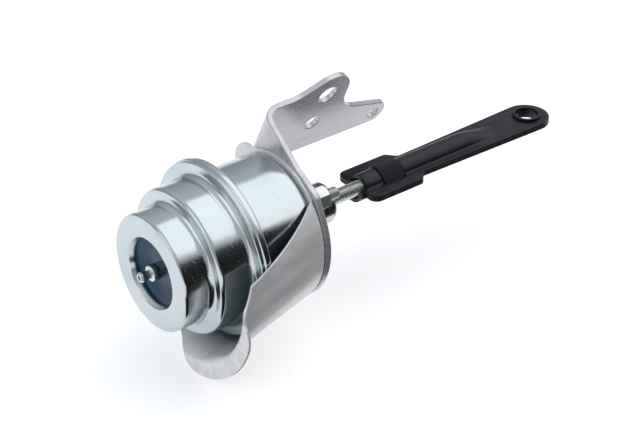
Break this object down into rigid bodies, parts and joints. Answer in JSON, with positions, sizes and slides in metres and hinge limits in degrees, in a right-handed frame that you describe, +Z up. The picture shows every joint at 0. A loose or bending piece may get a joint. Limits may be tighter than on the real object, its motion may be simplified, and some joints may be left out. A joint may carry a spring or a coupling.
{
  "type": "wastegate actuator",
  "caption": "Crimped diaphragm can with a hose nipple, heat shield, bent mounting bracket and a sliding rod whose stamped eye end is adjusted by a knurled nut.",
  "frame": {"origin": "on the can's axis at the shoulder of the hose nipple, which is the plane of the can's front face", "axes": "+X along the rod from the can to the eye, +Z up along the axis of the eye's bore, +Y across"},
  "size_m": [0.1714, 0.0661, 0.0797],
  "materials": {
    "bright_zinc": "bright bluish zinc plate",
    "turned_zinc": "turned, zinc plated",
    "zinc_hardware": "pale greenish zinc plate",
    "shield_steel": "satin stainless sheet",
    "bracket_steel": "satin zinc plate with a lilac cast",
    "black_steel": "black phosphate, satin",
    "plain_steel": "plain steel",
    "spring_steel": "oiled spring steel",
    "bush_bronze": "sintered bronze",
    "rubber": "matt black rubber"
  },
  "bodies": {
    "housing": {"front_cover": "bright_zinc", "hose_nipple": "turned_zinc", "rear_can": "bright_zinc", "diaphragm": "rubber", "return_spring": "spring_steel", "rod_guide": "zinc_hardware", "guide_bush": "bush_bronze", "rod_seal": "rubber", "heat_shield": "shield_steel", "bracket": "bracket_steel", "stud_upper": "zinc_hardware", "stud_lower": "zinc_hardware", "nut_upper": "zinc_hardware", "nut_lower": "zinc_hardware"},
    "rod": {"actuator_rod": "zinc_hardware", "piston_cup": "plain_steel", "diaphragm_retainer": "plain_steel"},
    "rod_end": {"rod_end_upper": "black_steel", "rod_end_lower": "black_steel", "end_bush": "black_steel"},
    "adjuster": {"adjuster_nut": "black_steel"}
  },
  "joints": [
    {"name": "rod_slide", "type": "slide", "parent": "housing", "child": "rod", "axis": [1, 0, 0], "range_m": [0, 0.01], "stiffness_N_per_m": 6000, "springref_m": -0.01, "deforming": ["return_spring", "diaphragm"]},
    {"name": "rod_end_adjust", "type": "slide", "parent": "rod", "child": "rod_end", "axis": [1, 0, 0], "range_m": [-0.0032, 0.004]},
    {"name": "adjuster_spin", "type": "hinge", "parent": "rod_end", "child": "adjuster", "pos_m": [0.0945, 0, 0], "axis": [1, 0, 0], "range_deg": [-1450, 1810]}
  ],
  "couplings": [
    {"joint": "adjuster_spin", "follows": "rod_end_adjust", "rad_per_m": 7854}
  ]
}
